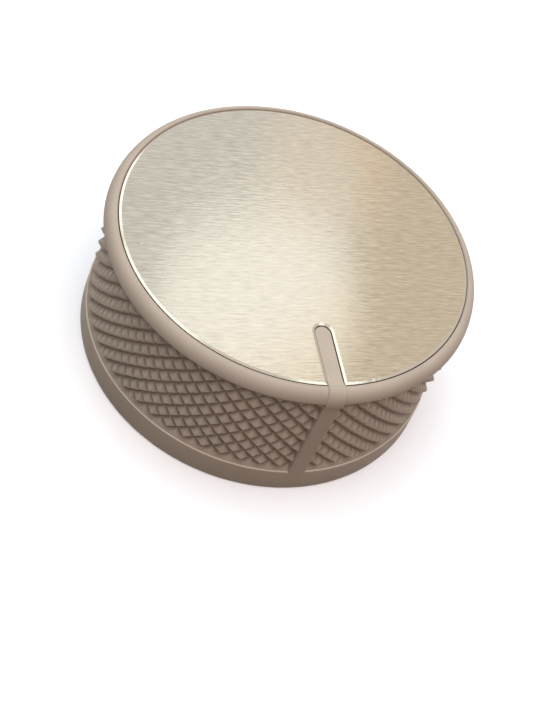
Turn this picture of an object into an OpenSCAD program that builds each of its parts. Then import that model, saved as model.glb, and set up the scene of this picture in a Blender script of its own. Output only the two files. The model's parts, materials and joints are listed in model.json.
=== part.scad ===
// Selector knob for an appliance panel: a knurled plastic body with a moulded pointer,
// a brushed aluminium face disc glued into its top, and a spring clip round the shaft socket.
// Millimetres. The foot stands on z = 0, the shaft axis is Z, and the pointer faces -Y.

/* [Body] */
// Diameter at the foot of the flange
base_d = 44; // [36:0.5:60]
// Height from the foot to the crown of the rim
knob_h = 18.8; // [15:0.1:26]
// Height of the plain flange below the knurl
flange_h = 3.3; // [2:0.1:5]
// How far the flange narrows from its foot to its ledge, at each side
flange_taper = 0.2; // [0.1:0.05:0.5]
// Radius of the rounded ledge edge
ledge_round = 0.3; // [0.1:0.05:0.6]
// Chamfer at the foot
foot_chamfer = 0.25; // [0.1:0.05:0.5]
// Height of the smooth slope between the ledge and the knurl's grooves
slope_h = 1.1; // [0.5:0.1:2]
// How far the rim lies inside the foot, at each side
rim_inset = 0.2; // [0:0.05:1]
// Thickness of the round rim bead
rim_bead_d = 2.8; // [2:0.1:3.6]
// Wall left behind the knurl's grooves
wall = 1.6; // [1.2:0.1:3]
// Thickness of the deck under the face disc
deck_t = 2.2; // [1.5:0.1:4]

/* [Knurl] */
// Diamonds round the knob
knurl_cells = 60; // [40:2:80]
// Height of one diamond
knurl_pitch = 2.19; // [1.6:0.01:3]
// Depth of the grooves below the tips
knurl_depth = 0.72; // [0.3:0.02:1]
// Length of the worn slope at each tip, measured along the diamond's half diagonal
tip_soft = 0.34; // [0.15:0.01:0.6]
// How far the softened tip stands above the flat that would cut it off
tip_crown = 0.09; // [0.02:0.01:0.16]
// How far the tips lie inside the ledge
ledge_w = 0.33; // [0.1:0.01:1]
// Draft of the knurled wall
knurl_draft = 0.7; // [0:0.1:2]
// Height of the first row of tips on the pointer's own line, above the ledge
knurl_first = 1.43; // [0.5:0.01:2]

/* [Pointer] */
// Width of the pointer rib on the face
pointer_w = 1.8; // [1.2:0.1:3]
// Distance from the axis to the rib's round inner end
pointer_start = 12.7; // [8:0.1:16]
// How far the rib's top lies below the disc's face
pointer_sink = 0.15; // [0:0.05:0.4]
// Length of the ramp from the rib up to the strip over the rim
pointer_ramp = 0.9; // [0.3:0.1:2]
// Width of the band down the side and the strip over the rim
band_w = 2; // [1.4:0.1:3.2]
// How far the strip stands proud of the rim bead
strip_proud = 0.1; // [0.05:0.05:0.3]
// Height of the band's top corner below the rim's crown
band_drop = 2.15; // [1.8:0.05:3]
// How far the band leans in from its foot to its top corner
band_lean = 0.2; // [0:0.05:0.5]

/* [Face disc] */
// Thickness of the aluminium disc
disc_t = 0.8; // [0.5:0.1:1.5]
// How far the disc's face lies below the rim's crown
disc_sink = 0.08; // [0:0.02:0.3]
// Plastic left between the rim's outer side and the disc's recess
rim_w = 1.42; // [1.1:0.02:1.9]
// Gap all round the disc, and beside the pointer rib
disc_gap = 0.12; // [0.05:0.01:0.25]
// Bright cut bevel on the disc's edge and round its slot
disc_bevel = 0.28; // [0.1:0.02:0.4]
// Thickness of the adhesive film under the disc
film_t = 0.15; // [0.1:0.05:0.3]
// How far the film stops short of the disc's edges
film_inset = 0.5; // [0.2:0.1:1.5]

/* [Shaft socket] */
// Bore of the D-shaped socket for the switch shaft
bore_d = 8.1; // [6:0.1:10]
// Distance across the socket at its flat
bore_across_flat = 6.6; // [5:0.05:8]
// Plastic left between the socket's end and the disc's seat
socket_roof = 2.6; // [1.5:0.1:5]
// Extra radius of the round mouth that leads into the socket
mouth_step = 0.2; // [0.1:0.05:0.5]
// Depth of the round mouth
mouth_depth = 4.5; // [2:0.5:7]
// Wall of the hub round the bore
hub_wall = 2.5; // [2:0.05:4]
// How far the hub's end lies above the foot
hub_recess = 1.2; // [0.5:0.1:3]
// Width of the two slits that let the hub grip
slit_w = 1; // [0.6:0.1:1.6]
// Depth of the slits from the hub's end
slit_depth = 8; // [5:0.5:11]
// Thickness of the four ribs between hub and wall
rib_t = 1.5; // [1:0.1:2.5]
// Gap between the clip and the ribs above it
rib_gap = 1.9; // [0.5:0.1:4]

/* [Spring clip] */
// Thickness of the spring steel
clip_t = 0.5; // [0.3:0.05:0.8]
// Height of the clip's strip
clip_h = 4; // [2:0.5:6]
// Distance from the hub's end to the clip
clip_up = 1.5; // [1:0.1:3]
// Depth of the hub's groove that holds the clip
clip_groove = 0.25; // [0.1:0.05:0.5]
// Opening between the clip's ends
clip_mouth = 5; // [3:0.5:8]
// Length of the clip's outturned ends
clip_ends = 1.2; // [0.5:0.1:2]

/* [Hidden] */
$fn = 96;
// Overlap that makes touching shapes of one moulding a single solid
weld = 0.5;
// Straight pieces in the profile of the rounded ledge
round_steps = 6;

body_colour = [0.55, 0.50, 0.45];
disc_colour = [0.80, 0.79, 0.76];
film_colour = [0.92, 0.91, 0.86];
steel_colour = [0.62, 0.63, 0.65];

base_r = base_d / 2;
ledge_r = base_r - flange_taper;
bead_r = rim_bead_d / 2;
rim_r = base_r - rim_inset;
bead_at = [rim_r - bead_r, knob_h - bead_r];
recess_r = rim_r - rim_w;
face_z = knob_h - disc_sink;
seat_z = face_z - disc_t - film_t;
deck_z = seat_z - deck_t;
band_top = knob_h - band_drop;
slot_r = pointer_w / 2 + disc_gap;
pointer_at = pointer_start + pointer_w / 2;

// Knurl: a grid of half cells in which tips and groove crossings take turns
columns = 2 * knurl_cells;
half_step = 360 / columns;
half_pitch = knurl_pitch / 2;
knurl_low = flange_h + knurl_first - 2 * half_pitch;
knurl_rows = ceil((bead_at[1] - bead_r / 2 - knurl_low) / half_pitch);
root_low_r = knurl_r(flange_h) - knurl_depth;
root_high_r = knurl_r(bead_at[1]) - knurl_depth;
wall_r = root_high_r - wall;
core_gap = 0.4;
core_r = root_high_r - core_gap;
ring_r = core_r - weld;

hub_r = bore_d / 2 + hub_wall;
hub_z = hub_recess;
clip_r = hub_r - clip_groove;
clip_z = hub_z + clip_up;
rib_z = clip_z + clip_h + rib_gap;
flat_at = bore_across_flat - bore_d / 2;
socket_depth = seat_z - socket_roof - hub_z;

function arc(at, r, from, to, steps) =
    [for (k = [0 : steps]) at + r * [cos(from + (to - from) * k / steps), sin(from + (to - from) * k / steps)]];

// Radius of the knurl's tips at a height
function knurl_r(z) = ledge_r - ledge_w - (z - flange_h) * tan(knurl_draft);
function row_z(j) = knurl_low + j * half_pitch;
function is_tip(i, j) = (i + j) % 2 == 0 && j > 0 && j < knurl_rows;
function polar(r, i, z) = [r * sin(i * half_step), -r * cos(i * half_step), z];
function tip(i, j) = polar(knurl_r(row_z(j)), i, row_z(j));
function crossing(i, j) = polar(knurl_r(row_z(j)) - knurl_depth, i, row_z(j));
// A point on the ridge from a tip to one of the four crossings round it
function shoulder(i, j, k) =
    let (foot = crossing(i + [1, 0, -1, 0][k], j + [0, 1, 0, -1][k]), top = tip(i, j))
    top + (foot - top) * tip_soft / norm(foot - top);
// A softened tip: the sharp one lowered nearly to the level of its shoulders
function soft_tip(i, j) =
    let (level = (shoulder(i, j, 0) + shoulder(i, j, 2)) / 2, out = tip(i, j) - level)
    level + out * tip_crown / norm(out);

// Places in the list of points: the grid, then four shoulders for each tip, then the inner wall
function at_grid(i, j) = j * columns + (i + columns) % columns;
function at_shoulder(i, j, k) = columns * (knurl_rows + 1)
    + 4 * ((j - 1) * knurl_cells + floor((i + columns) % columns / 2)) + k;
function at_inner(i, end) = columns * (knurl_rows + 1) + 4 * knurl_cells * (knurl_rows - 1)
    + end * columns + (i + columns) % columns;

// The two triangles, or the softened half diamonds, of one grid cell
function cell_half(i, j, k, right, up) =
    is_tip(i, j)
    ? [
        [at_grid(i, j), at_shoulder(i, j, k), at_shoulder(i, j, (k + 1) % 4)],
        [at_shoulder(i, j, k), right, up, at_shoulder(i, j, (k + 1) % 4)],
      ]
    : [[at_grid(i, j), right, up]];
function cell(i, j) =
    (i + j) % 2 == 0
    ? concat(
        cell_half(i, j, 0, at_grid(i + 1, j), at_grid(i, j + 1)),
        cell_half(i + 1, j + 1, 2, at_grid(i, j + 1), at_grid(i + 1, j)))
    : concat(
        cell_half(i + 1, j, 1, at_grid(i + 1, j + 1), at_grid(i, j)),
        cell_half(i, j + 1, 3, at_grid(i, j), at_grid(i + 1, j + 1)));

// Diamond-knurled ring as one closed surface, sunk into the turned wall, the rim and the flange
module knurl_ring() {
    grid = [for (j = [0 : knurl_rows]) for (i = [0 : columns - 1])
        is_tip(i, j) ? soft_tip(i, j) : crossing(i, j)];
    shoulders = [for (j = [1 : knurl_rows - 1]) for (i = [j % 2 : 2 : columns - 1]) for (k = [0 : 3])
        shoulder(i, j, k)];
    inner = [for (end = [0, knurl_rows]) for (i = [0 : columns - 1]) polar(ring_r, i, row_z(end))];
    skin = [for (j = [0 : knurl_rows - 1]) for (i = [0 : columns - 1]) for (face = cell(i, j)) face];
    ends = [for (i = [0 : columns - 1]) for (face = [
        [at_grid(i + 1, 0), at_grid(i, 0), at_inner(i, 0), at_inner(i + 1, 0)],
        [at_grid(i, knurl_rows), at_grid(i + 1, knurl_rows), at_inner(i + 1, 1), at_inner(i, 1)],
        [at_inner(i + 1, 0), at_inner(i, 0), at_inner(i, 1), at_inner(i + 1, 1)],
    ]) face];
    polyhedron(points = concat(grid, shoulders, inner), faces = [for (f = concat(skin, ends)) reverse(f)]);
}

function reverse(list) = [for (k = [len(list) - 1 : -1 : 0]) list[k]];

// Section of the turned shell, right of the axis
module shell_section() {
    difference() {
        union() {
            polygon(concat(
                [[wall_r, 0], [base_r - foot_chamfer, 0], [base_r, foot_chamfer]],
                arc([ledge_r - ledge_round, flange_h - ledge_round], ledge_round, 0, 90, round_steps),
                [[root_low_r, flange_h + slope_h], [core_r, flange_h + slope_h + core_gap]],
                [[core_r, bead_at[1]], [wall_r, bead_at[1]]]
            ));
            translate(bead_at) circle(bead_r);
            translate([0, deck_z]) square([bead_at[0], face_z - deck_z]);
            translate([0, hub_z]) square([hub_r, deck_z - hub_z + weld]);
        }
        translate([-weld, seat_z]) square([recess_r + weld, knob_h]);
        translate([clip_r, clip_z]) square([hub_r, clip_h]);
    }
}

module ribs() {
    for (turn = [45 : 90 : 315])
        rotate(turn) translate([hub_r - weld, -rib_t / 2, rib_z])
            cube([wall_r - hub_r + 2 * weld, rib_t, deck_z - rib_z + weld]);
}

// Flat band down the side, flush with the flange's ledge
module side_band() {
    rotate([90, 0, 90]) translate([0, 0, -band_w / 2]) linear_extrude(band_w) polygon([
        [-core_r, flange_h / 2], [-ledge_r, flange_h / 2], [-ledge_r, flange_h - ledge_round],
        [-ledge_r + band_lean, band_top], [-core_r, band_top],
    ]);
}

// Strip that carries the pointer over the rim
module rim_strip() {
    intersection() {
        rotate_extrude() difference() {
            translate(bead_at) circle(bead_r + strip_proud);
            translate([0, bead_at[1] - rim_bead_d]) square([recess_r, 2 * rim_bead_d]);
        }
        translate([-band_w / 2, -base_d, bead_at[1] - bead_r / 2]) cube([band_w, base_d, base_d]);
    }
}

// Footprint of the pointer rib, or of the slot that clears it
module pointer_outline(half_w, out) {
    translate([0, -pointer_at]) circle(half_w);
    translate([-half_w, -out]) square([2 * half_w, out - pointer_at]);
}

module pointer_rib() {
    rib_top = face_z - pointer_sink;
    translate([0, 0, seat_z - weld])
        linear_extrude(rib_top - seat_z + weld) pointer_outline(pointer_w / 2, bead_at[0] + weld);
    rotate([90, 0, 90]) translate([0, 0, -pointer_w / 2]) linear_extrude(pointer_w) polygon([
        [-recess_r - weld, seat_z], [-recess_r - weld, knob_h], [-recess_r, knob_h],
        [-recess_r + pointer_ramp, rib_top], [-recess_r + pointer_ramp, seat_z],
    ]);
}

// Round mouth, then a D with its flat on the side away from the pointer
module shaft_socket() {
    translate([0, 0, hub_z - weld]) cylinder(h = mouth_depth + weld, d = bore_d + 2 * mouth_step);
    intersection() {
        translate([0, 0, hub_z]) cylinder(h = socket_depth, d = bore_d);
        translate([-bore_d, flat_at - 2 * bore_d, hub_z]) cube([2 * bore_d, 2 * bore_d, socket_depth]);
    }
}

module hub_slits() {
    for (side = [0, 180])
        rotate(side) translate([0, -slit_w / 2, hub_z - weld]) cube([hub_r + weld, slit_w, slit_depth + weld]);
}

module knob_body() {
    color(body_colour) union() {
        difference() {
            rotate_extrude() shell_section();
            shaft_socket();
            hub_slits();
        }
        knurl_ring();
        ribs();
        side_band();
        rim_strip();
        pointer_rib();
    }
}

// Disc with a cut bevel at its edge and round its open slot
module face_disc() {
    disc_r = recess_r - disc_gap;
    slot_end = base_r;
    color(disc_colour) difference() {
        translate([0, 0, seat_z + film_t]) rotate_extrude() polygon([
            [0, 0], [disc_r, 0], [disc_r, disc_t - disc_bevel], [disc_r - disc_bevel, disc_t], [0, disc_t],
        ]);
        translate([0, 0, seat_z]) linear_extrude(knob_h) pointer_outline(slot_r, slot_end);
        translate([0, -pointer_at, face_z - disc_bevel])
            cylinder(h = 2 * disc_bevel, r1 = slot_r, r2 = slot_r + 2 * disc_bevel);
        translate([0, -pointer_at, face_z]) rotate([90, 0, 0]) linear_extrude(slot_end) polygon([
            [-slot_r, -disc_bevel], [slot_r, -disc_bevel],
            [slot_r + 2 * disc_bevel, disc_bevel], [-slot_r - 2 * disc_bevel, disc_bevel],
        ]);
    }
}

module disc_adhesive() {
    color(film_colour) translate([0, 0, seat_z]) linear_extrude(film_t) difference() {
        circle(recess_r - disc_gap - film_inset);
        pointer_outline(slot_r + film_inset, base_r);
    }
}

// Open ring of spring steel in the hub's groove, its ends turned out on the flat's side
module hub_spring_clip() {
    end_at = sqrt(pow(clip_r + clip_t, 2) - pow(clip_mouth / 2, 2));
    color(steel_colour) translate([0, 0, clip_z]) linear_extrude(clip_h) {
        difference() {
            circle(clip_r + clip_t);
            circle(clip_r);
            translate([-clip_mouth / 2, 0]) square([clip_mouth, hub_r + clip_t]);
        }
        for (side = [-1, 1])
            translate([side * (clip_mouth + clip_t) / 2 - clip_t / 2, end_at - clip_t])
                square([clip_t, clip_ends + clip_t]);
    }
}

knob_body();
face_disc();
disc_adhesive();
hub_spring_clip();
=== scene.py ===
"""Finish of a selector knob: knurled plastic body, brushed face disc, spring clip and a plain stage.

Each piece has an operator, listed with its sizes in the Knob tab of the 3D view's sidebar.
Pieces are in metres, in the frame of the packed model: foot on z = 0, shaft along Z, pointer towards -Y.
"""

import json
import math
from functools import reduce

import bpy
from bpy.props import FloatProperty, FloatVectorProperty, IntProperty, PointerProperty
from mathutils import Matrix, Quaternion, Vector


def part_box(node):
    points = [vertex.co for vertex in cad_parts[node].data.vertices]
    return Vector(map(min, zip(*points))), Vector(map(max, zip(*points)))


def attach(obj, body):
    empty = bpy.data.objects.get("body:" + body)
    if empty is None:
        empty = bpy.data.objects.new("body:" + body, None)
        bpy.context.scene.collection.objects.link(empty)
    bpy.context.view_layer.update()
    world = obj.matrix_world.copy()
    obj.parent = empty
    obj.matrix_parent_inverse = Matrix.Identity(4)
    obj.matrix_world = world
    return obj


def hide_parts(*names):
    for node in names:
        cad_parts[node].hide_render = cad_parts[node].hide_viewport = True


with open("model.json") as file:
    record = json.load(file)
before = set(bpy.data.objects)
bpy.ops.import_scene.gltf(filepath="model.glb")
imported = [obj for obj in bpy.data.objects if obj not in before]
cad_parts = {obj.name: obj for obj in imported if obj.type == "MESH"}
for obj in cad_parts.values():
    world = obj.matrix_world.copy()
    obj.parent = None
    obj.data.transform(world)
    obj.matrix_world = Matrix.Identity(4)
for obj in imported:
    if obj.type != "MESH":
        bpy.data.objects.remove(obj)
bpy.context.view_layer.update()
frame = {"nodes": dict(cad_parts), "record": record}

bl_info = {
    "name": "Selector knob",
    "version": (1, 0, 0),
    "blender": (4, 5, 0),
    "location": "View3D > Sidebar > Knob",
    "description": "Builds a knurled selector knob with a brushed face disc",
    "category": "Add Mesh",
}

MM = 0.001

BODY_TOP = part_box("knob_body")[1]
DISC_LOW, DISC_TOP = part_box("face_disc")
FILM_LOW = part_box("disc_adhesive")[0]
CLIP_LOW, CLIP_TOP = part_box("hub_spring_clip")
MOUNT_SIZES = {mount["name"]: mount["dims"] for mount in frame["record"]["mounts"]}

# Nicks in the disc's edge: degrees from the pointer, then shares of the nicks' width and depth
NICKS = ((24.6, 1.0, 1.0), (12.0, 1.6, 0.6), (14.2, 1.0, 0.35))

# Marks on the disc's face: centre, then half their widths along X and Y
SCRATCH = ((15.47 * MM, -7.49 * MM), (0.95 * MM, 0.08 * MM))
SPECK = ((-18.15 * MM, -2.24 * MM), (0.24 * MM, 0.11 * MM))

# Soft round panels that light the knob, and those of them that the metal doesn't mirror
PANELS = {
    "key": {"at": (0.119, 0.229, 0.328), "size": 0.10, "tint": (0.74, 0.84, 1.0), "glow": 0.63},
    "front": {"at": (0.08, -0.27, 0.42), "size": 0.34, "tint": (1.0, 0.5, 0.25), "glow": 0.9},
    "fill": {"at": (-0.40, -0.12, 0.36), "size": 0.40, "tint": (0.80, 0.92, 1.0), "glow": 0.6},
    "top": {"at": (0.1765, -0.015, 0.486), "size": 0.15, "tint": (0.72, 0.92, 1.0), "glow": 1.05},
    "back": {"at": (-0.105, 0.391, 0.313), "size": 0.23, "tint": (0.72, 0.92, 1.0), "glow": 1.05},
    "slot": {"at": (-0.115, 0.19, 0.469), "size": 0.287, "tint": (0.72, 0.92, 1.0), "glow": 1.05},
    "window": {"at": (0.122, 0.414, 0.44), "size": 0.26, "tint": (0.1, 0.45, 1.0), "glow": 0.3},
    "door": {"at": (0.167, 0.313, 0.311), "size": 0.072, "tint": (1.0, 0.56, 0.05), "glow": 0.15},
}
UNMIRRORED = ("front", "fill")


# Sizes and colours

def length(name, description, default):
    return FloatProperty(
        name=name, description=description, default=default,
        unit="LENGTH", subtype="DISTANCE", precision=5,
    )


def share(name, description, default):
    return FloatProperty(
        name=name, description=description, default=default, min=0.0, max=1.0, subtype="FACTOR",
    )


def angle(name, description, degrees):
    return FloatProperty(
        name=name, description=description, default=math.radians(degrees),
        unit="ROTATION", subtype="ANGLE",
    )


def colour(name, description, default):
    return FloatVectorProperty(
        name=name, description=description, default=default, min=0.0, max=1.0, subtype="COLOR",
    )


def place(name, description, default):
    return FloatVectorProperty(
        name=name, description=description, default=default,
        unit="LENGTH", subtype="TRANSLATION", precision=5,
    )


def number(name, description, default):
    return FloatProperty(name=name, description=description, default=default)


def panel_settings(name, at, size, tint, glow):
    """Properties of one panel light."""
    title = f"{name.title()} light"
    return {
        f"{name}_at": place(title, f"Place of the {name} light's centre", at),
        f"{name}_size": length(f"{title} width", f"Width of the {name} light", size),
        f"{name}_tint": colour(f"{title} colour", f"Colour of the {name} light", tint),
        f"{name}_glow": number(f"{title} level", f"Brightness of the {name} light's face", glow),
    }


class KnobBodySizes(bpy.types.PropertyGroup):
    """Turned shape of the moulded body"""
    foot_r: length("Foot radius", "Radius of the flange at its foot", BODY_TOP.y)
    foot_round: length("Foot rounding", "Radius of the foot's outer edge", 0.25 * MM)
    flange_h: length("Flange height", "Height of the plain flange below the knurl", 3.3 * MM)
    flange_taper: length("Flange taper", "How far the flange narrows up to its ledge", 0.2 * MM)
    ledge_round: length("Ledge rounding", "Radius of the flange's top edge", 0.12 * MM)
    # The painted highlight on the ledge's edge ends at this height
    ledge_line: length("Ledge line", "Height above the ledge where its light edge ends", 0.02 * MM)
    slope_h: length("Slope height", "Height of the smooth slope above the ledge", 0.2 * MM)
    rim_inset: length("Rim inset", "How far the rim lies inside the foot", 0.27 * MM)
    rim_w: length("Rim width", "Width of the rounded cap on the rim, from its crown outwards", 1.33 * MM)
    rim_h: length("Rim height", "Height over which the rim's cap curves down to upright", 1.8 * MM)
    rim_drop: length("Rim drop", "Height of the rim's lower edge below its crown", 1.6 * MM)
    rim_soft: length("Rim rounding", "Radius of the rim's lower edge, above the knurl", 0.12 * MM)
    recess_gap: length("Recess gap", "Gap between the disc and its recess", 0.10 * MM)
    recess_round: length("Recess rounding", "Radius of the recess's top edge", 0.22 * MM)
    seat_z: length("Seat", "Height of the face that carries the film and the disc", FILM_LOW.z)


class KnurlSizes(bpy.types.PropertyGroup):
    """Diamond knurl round the body"""
    cells: IntProperty(name="Diamonds", description="Diamonds round the knob", default=60, min=8)
    steps: IntProperty(name="Steps", description="Grid steps across half a diamond", default=6, min=2)
    pitch: length("Pitch", "Height of one diamond", 2.19 * MM)
    depth: length("Depth", "Depth of the grooves below the tips", 0.72 * MM)
    soften: share("Softening", "Rounding of the diamonds' ridges, as a share of their width", 0.10)
    # These set the painted shade in the grooves and on the slope above the ledge
    shade_from: share("Shade from", "Share of the depth below which the grooves grow darker", 0.58)
    shade_full: share("Shade full", "Share of the depth at which the grooves are darkest", 0.9)
    shade_rise: length("Shade rise", "Height above the ledge over which the grooves grow darker", 0.4 * MM)
    slope_shade: share("Slope shade", "How dark the smooth slope above the ledge is", 0.95)
    ledge_w: length("Ledge", "How far the tips lie inside the flange's ledge", 0.16 * MM)
    draft: angle("Draft", "Draft of the knurled wall", 0.35)
    first: length("First row", "Height of the first tips on the pointer's line above the ledge", 1.07 * MM)
    blend: length("Blend", "Width of the blend where diamonds run into the rim and the slope", 0.07 * MM)
    core_gap: length("Core gap", "How far the plain core lies behind the grooves", 0.4 * MM)


class PointerSizes(bpy.types.PropertyGroup):
    """Pointer rib, strip over the rim and band down the side"""
    rib_w: length("Rib width", "Width of the pointer rib on the face", 1.8 * MM)
    rib_start: length("Rib start", "Distance from the axis to the rib's round inner end", 12.7 * MM)
    rib_sink: length("Rib sink", "How far the rib's edge lies below the disc's face", 0.14 * MM)
    rib_round: length("Rib rounding", "Radius of the rib's top edges", 0.12 * MM)
    rib_crown: length("Rib crown", "Rise of the rib's middle above its edges", 0.05 * MM)
    ramp: length("Ramp", "Length of the ramp from the rib up to the strip", 0.9 * MM)
    band_w: length("Band width", "Width of the band and the strip", 2.0 * MM)
    strip_proud: length("Strip", "How far the strip stands proud of the rim", 0.15 * MM)
    band_drop: length("Band drop", "Height of the band's top corner below the rim's crown", 2.15 * MM)
    band_lean: length("Band lean", "How far the band leans in up to its top corner", 0.2 * MM)
    edge_w: length("Edge width", "Width of the step at each side of the band and the strip", 0.12 * MM)


class FaceDiscSizes(bpy.types.PropertyGroup):
    """Brushed disc with cut bevels"""
    radius: length("Radius", "Radius of the disc", DISC_TOP.x)
    low_z: length("Underside", "Height of the disc's underside", DISC_LOW.z)
    face_z: length("Face", "Height of the disc's face", DISC_TOP.z)
    bevel: length("Bevel", "Width of the cut bevel at the edge and round the slot", 0.28 * MM)
    bevel_drop: length("Bevel drop", "Depth of the cut bevel below the face", 0.09 * MM)
    slot_gap: length("Slot gap", "Gap between the slot and the pointer rib", 0.07 * MM)
    nick_depth: length("Nick depth", "Depth of the small nicks in the disc's edge", 0.16 * MM)
    nick_w: length("Nick width", "Width of the small nicks in the disc's edge", 0.35 * MM)


class ShaftSocketSizes(bpy.types.PropertyGroup):
    """Hollow underside with its hub, socket, slits and ribs"""
    wall_r: length("Hollow radius", "Radius of the hollow at the deck", 18.98 * MM)
    wall_draft: angle("Wall draft", "Draft of the hollow's wall and of the hub", 0.5)
    deck_z: length("Deck", "Height of the deck's underside", 15.57 * MM)
    fillet: length("Fillet", "Radius of the fillets at the deck", 0.6 * MM)
    hub_r: length("Hub radius", "Radius of the hub at its end", 6.55 * MM)
    hub_z: length("Hub end", "Height of the hub's end above the foot", 1.2 * MM)
    hub_chamfer: length("Hub chamfer", "Chamfer at the hub's end", 0.3 * MM)
    groove: length("Clip groove", "Depth of the groove that holds the clip", 0.25 * MM)
    mouth_r: length("Mouth radius", "Radius of the round mouth", MOUNT_SIZES["shaft_mouth"]["r_mm"] * MM)
    mouth_depth: length("Mouth depth", "Depth of the round mouth",
                        MOUNT_SIZES["shaft_mouth"]["length_mm"] * MM)
    socket_r: length("Socket radius", "Radius of the D-shaped socket",
                     MOUNT_SIZES["shaft_d_socket"]["r_mm"] * MM)
    flat_at: length("Flat", "Distance from the axis to the socket's flat", 2.55 * MM)
    socket_z: length("Socket end", "Height of the socket's blind end", 15.17 * MM)
    lead_in: length("Lead-in", "Chamfer at the socket's mouth", 0.35 * MM)
    slit_w: length("Slit width", "Width of the hub's two slits", 1.0 * MM)
    slit_z: length("Slit end", "Height of the slits' upper end", 9.2 * MM)
    rib_t: length("Rib thickness", "Thickness of the four ribs at the deck", 1.5 * MM)
    rib_z: length("Rib height", "Height of the ribs' lower edges above the foot", 8.6 * MM)
    rib_taper: length("Rib taper", "How much thinner the ribs are at their lower edges", 0.3 * MM)


class SpringClipSizes(bpy.types.PropertyGroup):
    """Open ring of spring steel round the hub"""
    low_z: length("Lower edge", "Height of the strip's lower edge", CLIP_LOW.z)
    high_z: length("Upper edge", "Height of the strip's upper edge", CLIP_TOP.z)
    outer_r: length("Outer radius", "Outer radius of the ring", CLIP_TOP.x)
    end_y: length("Ends", "How far the outturned ends reach towards +Y", CLIP_TOP.y)
    thickness: length("Thickness", "Thickness of the strip", 0.5 * MM)
    mouth: length("Mouth", "Opening between the outturned ends", 5.0 * MM)
    edge_round: length("Edge rounding", "Radius of the strip's rolled edges", 0.12 * MM)


class KnobFinish(bpy.types.PropertyGroup):
    """Colours and gloss of the knob's materials"""
    plastic: colour("Plastic", "Colour of the moulded body", (0.445, 0.328, 0.247))
    # Painted shade: the darker colour that the grooves and the slope above the ledge take
    plastic_painted_shade: colour("Plastic in the grooves", "Colour low in the knurl", (0.29, 0.205, 0.15))
    plastic_fall: number("Groove fall", "How late the plastic darkens towards the bottom of a groove", 1.3)
    # Painted highlight: the lighter colour of the ledge's rounded edge
    plastic_painted_highlight: colour("Plastic at the ledge", "Colour of the ledge's highlit edge", (0.57, 0.44, 0.34))
    plastic_rough: share("Plastic roughness", "Mean roughness of the moulded body", 0.46)
    plastic_gloss: share("Plastic gloss", "Strength of the moulded body's gloss", 0.06)
    aluminium: colour("Aluminium", "Mean colour of the brushed face", (0.545, 0.452, 0.325))
    aluminium_rough: share("Aluminium roughness", "Mean roughness of the brushed face", 0.11)
    aluminium_grain: share("Brushing", "How much rougher the face is across its brush lines", 0.15)
    scratch: colour("Scratch", "Colour of the small scratch and speck in the face", (0.78, 0.72, 0.62))
    scratch_share: share("Scratch strength", "How clearly the scratch and the speck show", 0.6)
    cut_edge: colour("Cut bevel", "Colour of the bright cut bevels", (0.57, 0.49, 0.40))
    cut_rough: share("Cut roughness", "Roughness of the bright cut bevels", 0.14)
    steel: colour("Spring steel", "Colour of the clip", (0.46, 0.455, 0.45))
    steel_rough: share("Steel roughness", "Mean roughness of the clip", 0.32)
    film: colour("Film", "Colour of the adhesive film", (0.74, 0.72, 0.66))


class KnobStage(bpy.types.PropertyGroup):
    """Floor, soft light from above and camera"""
    camera_at: place("Camera", "Place of the camera", (-0.04173, -0.07710, 0.10385))
    camera_aim: place("Aim", "Point that the camera looks at", (-0.003344, -0.010492, 0.010))
    camera_roll: angle("Roll", "Turn of the camera about its own axis", 24.61)
    camera_lens: FloatProperty(
        name="Lens", description="Focal length on a 36 mm sensor", default=54.71, unit="CAMERA",
    )
    floor_size: length("Floor", "Width of the floor", 4.0)
    floor_drop: length("Floor drop", "How far the floor lies below the foot", 0.02 * MM)
    floor_seen: colour("Floor as seen", "Colour of the floor to the camera", (1.0, 0.875, 0.815))
    floor_lit: colour("Floor's bounce", "Colour of the light that the floor returns", (0.08, 0.055, 0.036))
    horizon: colour("Horizon", "Colour of the soft light from the sides", (0.06, 0.015, 0.0))
    zenith: colour("Zenith", "Colour of the soft light from straight above", (0.74, 0.89, 1.0))
    zenith_focus: number("Zenith focus", "How closely the soft light gathers round the zenith", 3.0)
    zenith_level: number("Zenith level", "Brightness of the soft light from straight above", 3.5)


class KnobLights(bpy.types.PropertyGroup):
    """Soft round panels that light the knob"""
    __annotations__ = {
        key: setting
        for name, panel in PANELS.items()
        for key, setting in panel_settings(name, **panel).items()
    }


# Mesh helpers

def in_scene(name, data):
    """A new object in the scene, for a mesh, a lamp or a camera."""
    obj = bpy.data.objects.new(name, data)
    bpy.context.scene.collection.objects.link(obj)
    return obj


def new_object(name, points, faces):
    mesh = bpy.data.meshes.new(name)
    mesh.from_pydata(points, [], faces)
    mesh.validate()
    return in_scene(name, mesh)


def stack_faces(rings, count, split=None, bridged=False):
    """Faces between rings of equal length, closed by a cap at each end. split(i, j) may pick a diagonal.
    A bridged last cap is made of faces across a long ring whose two sides mirror each other."""
    faces = [list(reversed(range(count)))]
    for j in range(rings - 1):
        for i in range(count):
            near = (i + 1) % count
            low, low_near = j * count + i, j * count + near
            high, high_near = low + count, low_near + count
            diagonal = split(i, j) if split else None
            if diagonal == "rising":
                faces += [(low, low_near, high_near), (low, high_near, high)]
            elif diagonal == "falling":
                faces += [(low, low_near, high), (low_near, high_near, high)]
            else:
                faces.append((low, low_near, high_near, high))
    last = list(range((rings - 1) * count, rings * count))
    if bridged:
        half = count // 2
        faces += [(last[k], last[k + 1], last[-2 - k], last[-1 - k]) for k in range(half - 1)]
        faces.append(last[half - 1:count - half + 1])
    else:
        faces.append(last)
    return faces


def ring_stack(name, rings, split=None, bridged=False):
    """A closed shape through rings of points that run anticlockwise seen from the last ring."""
    points = [point for ring in rings for point in ring]
    return new_object(name, points, stack_faces(len(rings), len(rings[0]), split, bridged))


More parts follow.
